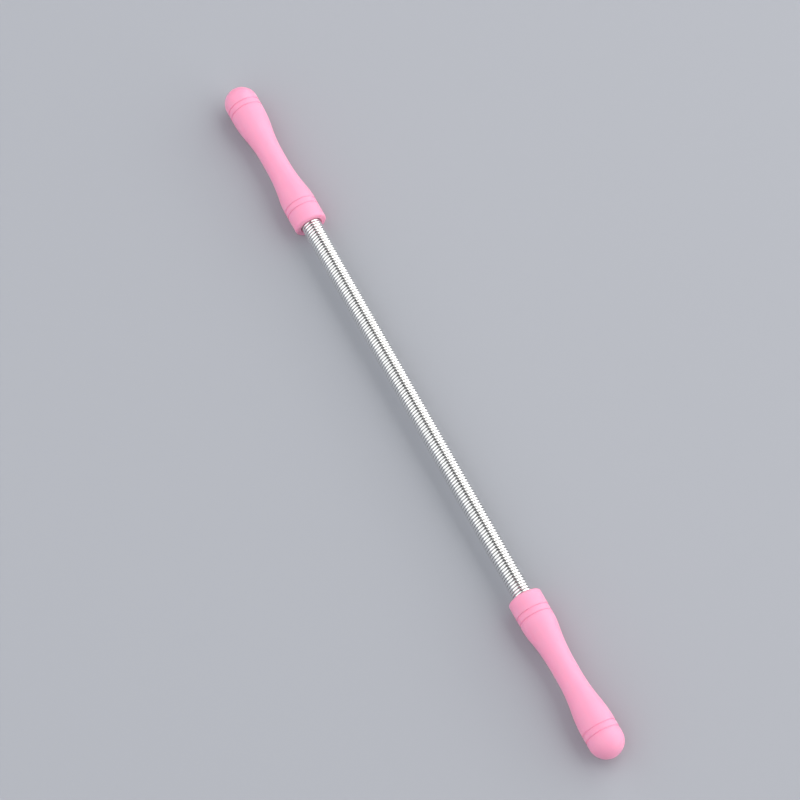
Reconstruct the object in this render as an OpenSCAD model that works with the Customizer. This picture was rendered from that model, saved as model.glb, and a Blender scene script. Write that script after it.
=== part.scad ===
/* [Spring] */
// Outer diameter of the coil
coil_d = 6.7; // [4:0.1:8]
// Diameter of the wire
wire_d = 0.97; // [0.6:0.01:1.6]
// Least air gap between neighbouring turns, as wound
turn_gap = 0.025; // [0.02:0.005:0.4]
// Length of coil that shows between the two handles
visible_len = 146; // [60:1:200]

/* [Socket in each handle] */
// Depth of coil held inside a handle
socket_depth = 12; // [6:0.5:20]
// Play around the coil in its socket, on each side
socket_play = 0.18; // [0.05:0.01:0.5]
// Least gap between the coil's end and the socket's floor
seat_gap = 0.05; // [0:0.05:0.5]
// Chamfer at the socket's mouth
socket_chamfer = 0.25; // [0.1:0.05:0.5]

/* [Handle outline] */
// Diameter of the collar at the spring's end
collar_d = 11; // [10:0.1:16]
// Straight length of the collar
collar_len = 9; // [8.5:0.5:20]
// Radius of the rounded lip around the mouth
lip_r = 0.7; // [0.2:0.1:1]
// Length of the slope from the collar down to the waist
collar_slope = 16; // [10:0.5:24]
// Share of that slope that is round shoulder, before its hollow fillet
collar_shoulder = 0.25; // [0.1:0.05:0.9]
// Diameter of the waist
waist_d = 8; // [6:0.1:9]
// Straight length of the waist
waist_len = 4; // [2:0.5:20]
// Length of the slope from the waist up to the bulb
bulb_slope = 18.3; // [10:0.1:25]
// Share of that slope that is round shoulder, after its hollow fillet
bulb_shoulder = 0.45; // [0.1:0.05:0.9]
// Diameter of the bulb and of its round tip
bulb_d = 11.3; // [10:0.1:16]
// Straight length of the bulb, before its round tip
bulb_len = 4.4; // [4.3:0.1:15]

/* [Grooves] */
// Width of a decorative groove
groove_w = 0.6; // [0.4:0.05:0.8]
// Depth of a decorative groove
groove_depth = 0.3; // [0.1:0.05:0.4]
// Distance between the two grooves of a pair
groove_pitch = 2.1; // [1.5:0.1:3]
// Distance from the mouth to the first collar groove
collar_groove_at = 5.7; // [2:0.1:5.7]
// Distance from the end of the straight bulb back to its last groove
bulb_groove_at = 1.9; // [1:0.1:2]

/* [Hidden] */

handle_len = collar_len + collar_slope + waist_len + bulb_slope + bulb_len + bulb_d / 2;
waist_at = collar_len + collar_slope;
bulb_slope_at = waist_at + waist_len;
bulb_at = bulb_slope_at + bulb_slope;
tip_centre_at = bulb_at + bulb_len;
socket_d = coil_d + 2 * socket_play;

// The turns lie as close as their gap allows, with the pitch rounded up to a step of the winder,
// and as many half turns as fit between the two socket floors.
winder_step = 0.02;
coil_r = (coil_d - wire_d) / 2;
closest_pitch = (wire_d + turn_gap) / cos(atan((wire_d + turn_gap) / (4 * coil_r)));
pitch = winder_step * ceil(closest_pitch / winder_step);
coil_room = visible_len + 2 * (socket_depth - seat_gap);
half_turns = floor(2 * (coil_room - wire_d) / pitch);

// Section of a slope that leaves radius r_wide as a round shoulder and runs into radius r_slim as a
// hollow fillet. The arcs would touch where the shoulder has had its share of the length. Their
// radii, in whole hundredths, are a hair larger, so that they cross there at a definite point.
module slope_section(length, r_wide, r_slim, shoulder_share) {
    drop = r_wide - r_slim;
    touching_radii = (length * length + drop * drop) / (2 * drop);
    radii = ceil(100 * touching_radii + 5) / 100;
    shoulder_r = round(100 * radii * shoulder_share) / 100;
    fillet_r = radii - shoulder_r;
    meet_at = length * shoulder_share;
    difference() {
        union() {
            intersection() {
                square([r_wide, meet_at]);
                translate([r_wide - shoulder_r, 0]) circle(r = shoulder_r, $fn = 360);
            }
            translate([0, meet_at]) square([r_wide, length - meet_at]);
        }
        translate([r_slim + fillet_r, length]) circle(r = fillet_r, $fn = 360);
    }
}

// Section of the collar, with the round lip at its mouth.
module collar_section() {
    translate([0, lip_r]) square([collar_d / 2, collar_len - lip_r]);
    square([collar_d / 2 - lip_r, lip_r]);
    translate([collar_d / 2 - lip_r, lip_r]) circle(r = lip_r, $fn = 48);
}

// Section of the bulb, with its half-round tip.
module bulb_section() {
    square([bulb_d / 2, bulb_len]);
    translate([0, bulb_len]) intersection() {
        circle(d = bulb_d, $fn = 96);
        square(bulb_d);
    }
}

// A pair of half-round grooves cut into a surface of radius r, the first one at the height given.
module groove_pair(r, at) {
    for (i = [0, 1])
        translate([r - groove_depth + groove_w / 2, at + i * groove_pitch])
            circle(d = groove_w, $fn = 24);
}

// Half of the handle's section, its mouth at the bottom and its tip at the top.
module handle_section() {
    difference() {
        union() {
            collar_section();
            translate([0, collar_len])
                slope_section(collar_slope, collar_d / 2, waist_d / 2, collar_shoulder);
            translate([0, waist_at]) square([waist_d / 2, waist_len]);
            translate([0, bulb_at]) mirror([0, 1])
                slope_section(bulb_slope, bulb_d / 2, waist_d / 2, bulb_shoulder);
            translate([0, bulb_at]) bulb_section();
        }
        groove_pair(collar_d / 2, collar_groove_at);
        groove_pair(bulb_d / 2, tip_centre_at - bulb_groove_at - groove_pitch);
    }
}

// One handle, standing on its mouth, with the blind socket for the coil.
module handle() {
    difference() {
        rotate_extrude($fn = 96) handle_section();
        translate([0, 0, -1]) cylinder(d = socket_d, h = socket_depth + 1, $fn = 64);
        translate([0, 0, -socket_chamfer])
            cylinder(d1 = socket_d + 4 * socket_chamfer, d2 = socket_d, h = 2 * socket_chamfer, $fn = 64);
    }
}

module right_handle() {
    color("pink") translate([visible_len / 2, 0, 0]) rotate([0, 90, 0]) handle();
}

module left_handle() {
    color("pink") translate([-visible_len / 2, 0, 0]) rotate([0, -90, 0]) handle();
}

// Half a turn of wire, centred on the height it climbs through. It is a tilted half ring, so each
// half turn runs on smoothly from the one before it.
module half_turn() {
    rotate([0, atan(pitch / 4 / coil_r), 0])
        rotate_extrude(angle = 180, $fn = 48)
            translate([norm([coil_r, pitch / 4]), 0]) circle(d = wire_d, $fn = 20);
}

module spring() {
    color("silver") rotate([0, 90, 0])
        for (i = [0 : half_turns - 1])
            translate([0, 0, (i + 0.5 - half_turns / 2) * pitch / 2])
                rotate([0, 0, i % 2 * 180])
                    half_turn();
}

left_handle();
right_handle();
spring();
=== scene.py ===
"""Looks of a facial hair removal spring: two pink moulded handles and a bright close-wound coil.

Metres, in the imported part's own frame. The handles keep their CAD shape and get their finish here.
The coil is drawn again as a true helix, because its shine depends on every turn being round.
"""

import math

import bpy
from mathutils import Matrix, Vector

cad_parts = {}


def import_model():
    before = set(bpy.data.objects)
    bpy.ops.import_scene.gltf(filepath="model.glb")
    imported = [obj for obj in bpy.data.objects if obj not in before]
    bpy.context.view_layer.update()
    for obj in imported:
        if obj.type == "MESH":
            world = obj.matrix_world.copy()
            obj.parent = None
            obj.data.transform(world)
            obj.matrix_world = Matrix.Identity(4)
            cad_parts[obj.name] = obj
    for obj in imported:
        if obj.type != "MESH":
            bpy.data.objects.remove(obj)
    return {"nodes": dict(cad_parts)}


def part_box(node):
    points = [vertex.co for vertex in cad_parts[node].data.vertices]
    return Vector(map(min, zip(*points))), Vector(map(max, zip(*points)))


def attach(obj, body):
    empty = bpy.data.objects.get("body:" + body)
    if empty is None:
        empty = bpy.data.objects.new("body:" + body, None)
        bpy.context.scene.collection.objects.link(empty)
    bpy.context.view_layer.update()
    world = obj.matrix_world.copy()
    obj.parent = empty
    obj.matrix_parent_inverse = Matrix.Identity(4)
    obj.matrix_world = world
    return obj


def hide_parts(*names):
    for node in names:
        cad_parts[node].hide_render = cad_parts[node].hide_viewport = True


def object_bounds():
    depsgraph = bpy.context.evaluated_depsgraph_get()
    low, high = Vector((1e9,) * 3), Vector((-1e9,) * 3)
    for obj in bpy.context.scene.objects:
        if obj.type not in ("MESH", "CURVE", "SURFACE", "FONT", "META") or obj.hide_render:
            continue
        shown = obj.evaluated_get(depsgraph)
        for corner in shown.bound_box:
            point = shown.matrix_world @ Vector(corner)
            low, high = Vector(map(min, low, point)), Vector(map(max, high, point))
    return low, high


# The wire of the coil, as wound. Its radius about the axis comes from the box of the CAD coil.
WIRE_DIAMETER = 0.00097
PITCH = 0.001
STEPS_PER_TURN = 36
POINTS_AROUND_WIRE = 12

# The plastic. Its clouds take green and blue up and down by these shares of the colour.
PINK = (1.0, 0.38, 0.565)
PINK_CLOUDS = (0.0, 0.02, 0.015)
PINK_CLOUDS_PER_METRE = 90.0
PINK_GLOSS_PER_METRE = 420.0
PINK_SMOOTHEST = 0.285
PINK_ROUGHEST = 0.385
PINK_GRAIN_PER_METRE = 2600.0
PINK_GRAIN_DEPTH = 0.00003
PINK_GRAIN_STRENGTH = 0.08
PINK_IOR = 1.48
PINK_SPECULAR = 0.3
PINK_GLOW = 0.3
PINK_GLOW_DEPTH = 0.0012
PINK_GLOW_REACH = (1.0, 0.3, 0.4)

# The wire's plating. Its haze takes the colour up and down by a share. The drawing lines are noise
# that is stretched along the wire: how fine it is comes along the wire first, then around it.
STEEL = (0.90, 0.90, 0.89)
STEEL_HAZE = 0.04
STEEL_HAZE_PER_METRE = 160.0
STEEL_SMOOTHEST = 0.10
STEEL_ROUGHEST = 0.22
DRAWING_LINES = (60.0, 9.0, 1.0)
DRAWING_LINES_SCALE = 3.0
DRAWING_LINES_DEPTH = 0.00002
DRAWING_LINES_STRENGTH = 0.06

# Where the wire's colour is painted darker towards its neighbours, as painted shade between the turns,
# given as the sine of the angle from its outermost line.
PAINTED_SHADE_START = 0.68
PAINTED_SHADE_END = 1.0
PAINTED_SHADE_STEEL = (0.56, 0.56, 0.565)

# The camera, from the photo: where it stands as seen from the part, and the point it looks at.
CAMERA_AZIMUTH = math.radians(-27.2)
CAMERA_ELEVATION = math.radians(64.4)
CAMERA_DISTANCE = 0.932
CAMERA_AIM = Vector((-0.0036, -0.0033, 0.0008))
CAMERA_LENS_MM = 133.0
SENSOR_WIDTH_MM = 36.0

FLOOR_SIZE = 3.2
FLOOR_COLOUR = (0.396, 0.409, 0.449)
FLOOR_ROUGHNESS = 0.6
FLOOR_SPECULAR = 0.1

# The studio's dim light, and its pale walls. The walls are seen, in the metal too, but give no light.
# They fade out between two heights, given as the sine of the angle above the horizon. The floor fades
# into them between two distances from the middle of the part.
DIM_LIGHT = (0.0516, 0.0528, 0.054)
WALL_COLOUR = (0.49, 0.507, 0.55)
WALL_FADE_START = 0.12
WALL_FADE_END = 0.2
FLOOR_FADE_START = 0.5
FLOOR_FADE_END = 1.2

# The lamps all stand this far from the part. Each one's own values are explained at softbox().
LAMP_DISTANCE = 1.35
LAMPS = (
    dict(name="key_softbox", lean=54.0, along=5.1, across=1.935, slide=0.9, turn=9.0,
         brightness=1.94, colour=(1.0, 0.99, 0.97)),
    dict(name="side_softbox", lean=78.4, along=7.5, across=0.57, slide=0.45, turn=0.0,
         brightness=1.15, colour=(1.0, 0.99, 0.97)),
    dict(name="top_softbox", lean=6.0, along=1.2, across=0.75, slide=-0.57, turn=0.0,
         brightness=0.95, colour=(1.0, 1.0, 1.0)),
    dict(name="fill_softbox", lean=-44.5, along=6.3, across=2.01, slide=-0.9, turn=-5.0,
         brightness=1.27, colour=(0.97, 0.985, 1.0)),
)


def as_lists(corners):
    """Corners as plain lists, rounded to a thousandth of a millimetre, ready for JSON."""
    return [[round(value, 6) for value in corner] for corner in corners]


def new_material(name):
    """A node material with an empty Principled shader. Returns the material, its nodes and its links."""
    material = bpy.data.materials.new(name)
    material.use_nodes = True
    return material, material.node_tree.nodes, material.node_tree.links


def noise(nodes, links, vector, scale, detail=2.0):
    """A noise texture read at the given coordinates, with so many cells for each unit of them."""
    texture = nodes.new("ShaderNodeTexNoise")
    texture.inputs["Scale"].default_value = scale
    texture.inputs["Detail"].default_value = detail
    links.new(vector, texture.inputs["Vector"])
    return texture.outputs["Fac"]


def spread(nodes, links, value, low, high, start=0.0, end=1.0):
    """Maps a value that runs from start to end onto low to high, smoothly, and holds it beyond them."""
    spread_node = nodes.new("ShaderNodeMapRange")
    spread_node.interpolation_type = "SMOOTHSTEP"
    spread_node.inputs["From Min"].default_value = start
    spread_node.inputs["From Max"].default_value = end
    spread_node.inputs["To Min"].default_value = low
    spread_node.inputs["To Max"].default_value = high
    links.new(value, spread_node.inputs["Value"])
    return spread_node.outputs["Result"]


def blend_colour(nodes, links, share, low, high):
    """Goes from colour low to colour high as share goes from 0 to 1. Each may be a node's own colour."""
    blend = nodes.new("ShaderNodeMix")
    blend.data_type = "RGBA"
    links.new(share, blend.inputs["Factor"])
    for socket, colour in (("A", low), ("B", high)):
        if isinstance(colour, tuple):
            blend.inputs[socket].default_value = (*colour, 1.0)
        else:
            links.new(colour, blend.inputs[socket])
    return blend.outputs["Result"]


def arithmetic(nodes, links, operation, value, other=0.0):
    """One step of arithmetic on a value. Where it takes two, the other is a number or a node's value."""
    step = nodes.new("ShaderNodeMath")
    step.operation = operation
    links.new(value, step.inputs[0])
    if isinstance(other, float):
        step.inputs[1].default_value = other
    else:
        links.new(other, step.inputs[1])
    return step.outputs["Value"]


def only_seen(nodes, links, value):
    """Keeps a value for what is seen, straight or in metal, and makes it 0 for the light on surfaces."""
    path = nodes.new("ShaderNodeLightPath").outputs
    seen = arithmetic(nodes, links, "MAXIMUM", path["Is Camera Ray"], path["Is Glossy Ray"])
    seen = arithmetic(nodes, links, "MAXIMUM", seen, path["Is Transmission Ray"])
    return arithmetic(nodes, links, "MULTIPLY", seen, value)


def fine_relief(nodes, links, shader, height, strength, depth):
    """Roughens the shader's surface by a height from 0 to 1, which stands for the given depth."""
    bump = nodes.new("ShaderNodeBump")
    bump.inputs["Strength"].default_value = strength
    bump.inputs["Distance"].default_value = depth
    links.new(height, bump.inputs["Height"])
    links.new(bump.outputs["Normal"], shader.inputs["Normal"])


def pink_plastic():
    """Satin moulded plastic: an even pink, a faint cloudiness in the moulding and a soft gloss."""
    material, nodes, links = new_material("pink_plastic")
    shader = nodes["Principled BSDF"]
    place = nodes.new("ShaderNodeTexCoord").outputs["Object"]

    clouds = noise(nodes, links, place, PINK_CLOUDS_PER_METRE, detail=3.0)
    fainter = tuple(channel * (1.0 - cloud) for channel, cloud in zip(PINK, PINK_CLOUDS))
    fuller = tuple(channel * (1.0 + cloud) for channel, cloud in zip(PINK, PINK_CLOUDS))
    links.new(blend_colour(nodes, links, clouds, fainter, fuller), shader.inputs["Base Color"])

    gloss = noise(nodes, links, place, PINK_GLOSS_PER_METRE, detail=3.0)
    links.new(spread(nodes, links, gloss, PINK_SMOOTHEST, PINK_ROUGHEST), shader.inputs["Roughness"])

    grain = noise(nodes, links, place, PINK_GRAIN_PER_METRE)
    fine_relief(nodes, links, shader, grain, PINK_GRAIN_STRENGTH, PINK_GRAIN_DEPTH)

    shader.inputs["IOR"].default_value = PINK_IOR
    shader.inputs["Specular IOR Level"].default_value = PINK_SPECULAR
    shader.inputs["Subsurface Weight"].default_value = PINK_GLOW
    shader.inputs["Subsurface Radius"].default_value = PINK_GLOW_REACH
    shader.inputs["Subsurface Scale"].default_value = PINK_GLOW_DEPTH
    return material


def bright_wire():
    """Plated spring wire: fine drawing lines run along it, and its colour is painted darker where the
    turns touch, as painted shade between them.
    """
    material, nodes, links = new_material("bright_wire")
    shader = nodes["Principled BSDF"]
    wire_map = nodes.new("ShaderNodeUVMap")
    wire_map.uv_map = "along_wire"

    stretch = nodes.new("ShaderNodeMapping")
    stretch.inputs["Scale"].default_value = DRAWING_LINES
    links.new(wire_map.outputs["UV"], stretch.inputs["Vector"])
    lines = noise(nodes, links, stretch.outputs["Vector"], DRAWING_LINES_SCALE, detail=3.0)
    links.new(spread(nodes, links, lines, STEEL_SMOOTHEST, STEEL_ROUGHEST), shader.inputs["Roughness"])
    fine_relief(nodes, links, shader, lines, DRAWING_LINES_STRENGTH, DRAWING_LINES_DEPTH)

    place = nodes.new("ShaderNodeTexCoord").outputs["Object"]
    haze = noise(nodes, links, place, STEEL_HAZE_PER_METRE)
    duller = tuple((1.0 - STEEL_HAZE) * channel for channel in STEEL)
    brighter = tuple((1.0 + STEEL_HAZE) * channel for channel in STEEL)
    plating = blend_colour(nodes, links, haze, duller, brighter)

    # Painted shade: the wire's colour darkens towards its sides, where the turns meet and shade falls
    # between them.
    split = nodes.new("ShaderNodeSeparateXYZ")
    links.new(wire_map.outputs["UV"], split.inputs["Vector"])
    around = arithmetic(nodes, links, "MULTIPLY", split.outputs["Y"], math.tau)
    facing_side = arithmetic(nodes, links, "ABSOLUTE", arithmetic(nodes, links, "SINE", around))
    painted_shade = spread(nodes, links, facing_side, 0.0, 1.0, start=PAINTED_SHADE_START, end=PAINTED_SHADE_END)
    links.new(blend_colour(nodes, links, painted_shade, plating, PAINTED_SHADE_STEEL), shader.inputs["Base Color"])

    shader.inputs["Metallic"].default_value = 1.0
    return material


def coil_mesh(low, high):
    """The coil as a right-hand helix of round wire along X, filling the box of the CAD coil.

    Its map holds the metres along the wire, and the share of the way around it from the outermost line.
    """
    wire_radius = WIRE_DIAMETER / 2
    coil_radius = (high.z - low.z) / 2 - wire_radius
    start = low.x + wire_radius
    turns = (high.x - low.x - WIRE_DIAMETER) / PITCH
    steps = round(turns * STEPS_PER_TURN)
    lead = math.atan2(PITCH, math.tau * coil_radius)
    metres_per_step = turns * math.hypot(PITCH, math.tau * coil_radius) / steps

    vertices = []
    for step in range(steps + 1):
        angle = math.tau * turns * step / steps
        out = Vector((0.0, math.cos(angle), math.sin(angle)))
        forward = Vector((0.0, -math.sin(angle), math.cos(angle)))
        tangent = forward * math.cos(lead) + Vector((math.sin(lead), 0.0, 0.0))
        side = tangent.cross(out)
        centre = out * coil_radius + Vector((start + PITCH * turns * step / steps, 0.0, 0.0))
        for point in range(POINTS_AROUND_WIRE):
            around = math.tau * point / POINTS_AROUND_WIRE
            vertices.append(centre + (out * math.cos(around) + side * math.sin(around)) * wire_radius)

    faces = []
    ring = POINTS_AROUND_WIRE
    for step in range(steps):
        for point in range(ring):
            here = step * ring + point
            beside = step * ring + (point + 1) % ring
            faces.append((here, beside, beside + ring, here + ring))
    faces.append(tuple(reversed(range(ring))))
    faces.append(tuple(range(steps * ring, (steps + 1) * ring)))

    mesh = bpy.data.meshes.new("coil")
    mesh.from_pydata(vertices, [], faces)
    wire_map = mesh.uv_layers.new(name="along_wire")
    for polygon in mesh.polygons:
        is_end = len(polygon.vertices) > 4
        polygon.use_smooth = not is_end
        for loop in polygon.loop_indices:
            step, point = divmod(mesh.loops[loop].vertex_index, ring)
            past_seam = not is_end and point == 0 and polygon.index % ring == ring - 1
            wire_map.data[loop].uv = (step * metres_per_step, (point + ring * past_seam) / ring)
    mesh.update()
    return mesh


def make_coil(material):
    low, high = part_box("spring")
    coil = bpy.data.objects.new("coil", coil_mesh(low, high))
    bpy.context.scene.collection.objects.link(coil)
    coil.data.materials.append(material)
    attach(coil, "root")
    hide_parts("spring")


def dress(node, material):
    """Gives a CAD node its finish and leaves its shape as it is."""
    node.data.materials.clear()
    node.data.materials.append(material)


def floor_paint():
    """Matt grey paint around the part, which fades into the colour of the walls farther away."""
    material, nodes, links = new_material("floor_paint")
    paint = nodes["Principled BSDF"]
    paint.inputs["Base Color"].default_value = (*FLOOR_COLOUR, 1.0)
    paint.inputs["Roughness"].default_value = FLOOR_ROUGHNESS
    paint.inputs["Specular IOR Level"].default_value = FLOOR_SPECULAR
    wall = nodes.new("ShaderNodeEmission")
    wall.inputs["Color"].default_value = (*WALL_COLOUR, 1.0)

    length = nodes.new("ShaderNodeVectorMath")
    length.operation = "LENGTH"
    links.new(nodes.new("ShaderNodeTexCoord").outputs["Object"], length.inputs[0])
    distance = length.outputs["Value"]
    away = spread(nodes, links, distance, 0.0, 1.0, start=FLOOR_FADE_START, end=FLOOR_FADE_END)

    fade = nodes.new("ShaderNodeMixShader")
    links.new(only_seen(nodes, links, away), fade.inputs[0])
    links.new(paint.outputs["BSDF"], fade.inputs[1])
    links.new(wall.outputs["Emission"], fade.inputs[2])
    links.new(fade.outputs["Shader"], nodes["Material Output"].inputs["Surface"])
    return material


def make_floor(height):
    half = FLOOR_SIZE / 2
    mesh = bpy.data.meshes.new("floor")
    corners = [(-half, -half, height), (half, -half, height), (half, half, height), (-half, half, height)]
    mesh.from_pydata(corners, [], [(0, 1, 2, 3)])
    mesh.materials.append(floor_paint())
    floor = bpy.data.objects.new("floor", mesh)
    bpy.context.scene.collection.objects.link(floor)


def softbox(name, lean, along, across, slide, turn, brightness, colour):
    """An elliptical lamp that faces the part, so many metres along and across the part's length.

    It hangs straight above the part, then leans over by so many degrees towards +Y, slides along X
    and turns by so many degrees in its own plane. It shines like a white wall of the given brightness.
    """
    lamp = bpy.data.lights.new(name, "AREA")
    lamp.shape = "ELLIPSE"
    lamp.size = along
    lamp.size_y = across
    lamp.energy = brightness * math.pi * (math.pi / 4 * along * across)
    lamp.color = colour
    holder = bpy.data.objects.new(name, lamp)
    lean = math.radians(lean)
    holder.location = (slide, LAMP_DISTANCE * math.sin(lean), LAMP_DISTANCE * math.cos(lean))
    facing = Matrix.Rotation(-lean, 3, "X") @ Matrix.Rotation(math.radians(turn), 3, "Z")
    holder.rotation_euler = facing.to_euler()
    bpy.context.scene.collection.objects.link(holder)


def make_world():
    """The dim light from all around, and the pale walls in front of it, up to where they fade out."""
    world = bpy.data.worlds.new("studio")
    world.use_nodes = True
    nodes = world.node_tree.nodes
    links = world.node_tree.links
    split = nodes.new("ShaderNodeSeparateXYZ")
    links.new(nodes.new("ShaderNodeTexCoord").outputs["Generated"], split.inputs["Vector"])
    height = split.outputs["Z"]
    wall = spread(nodes, links, height, 1.0, 0.0, start=WALL_FADE_START, end=WALL_FADE_END)
    colour = blend_colour(nodes, links, only_seen(nodes, links, wall), DIM_LIGHT, WALL_COLOUR)
    links.new(colour, nodes["Background"].inputs["Color"])
    bpy.context.scene.world = world


def make_camera():
    outward = Vector((
        math.cos(CAMERA_ELEVATION) * math.cos(CAMERA_AZIMUTH),
        math.cos(CAMERA_ELEVATION) * math.sin(CAMERA_AZIMUTH),
        math.sin(CAMERA_ELEVATION),
    ))
    lens = bpy.data.cameras.new("camera")
    lens.lens = CAMERA_LENS_MM
    lens.sensor_width = SENSOR_WIDTH_MM
    lens.sensor_fit = "HORIZONTAL"
    lens.clip_start = 0.01
    camera = bpy.data.objects.new("camera", lens)
    camera.location = CAMERA_AIM + outward * CAMERA_DISTANCE
    camera.rotation_euler = outward.to_track_quat("Z", "Y").to_euler()
    bpy.context.scene.collection.objects.link(camera)
    bpy.context.scene.camera = camera


def main():
    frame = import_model()
    cad_bounds = as_lists(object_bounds())

    pink = pink_plastic()
    for name in ("left_handle", "right_handle"):
        dress(frame["nodes"][name], pink)
    make_coil(bright_wire())

    make_camera()
    make_world()
    make_floor(cad_bounds[0][2])
    for lamp in LAMPS:
        softbox(**lamp)

    bpy.context.scene.view_settings.view_transform = "Standard"


main()
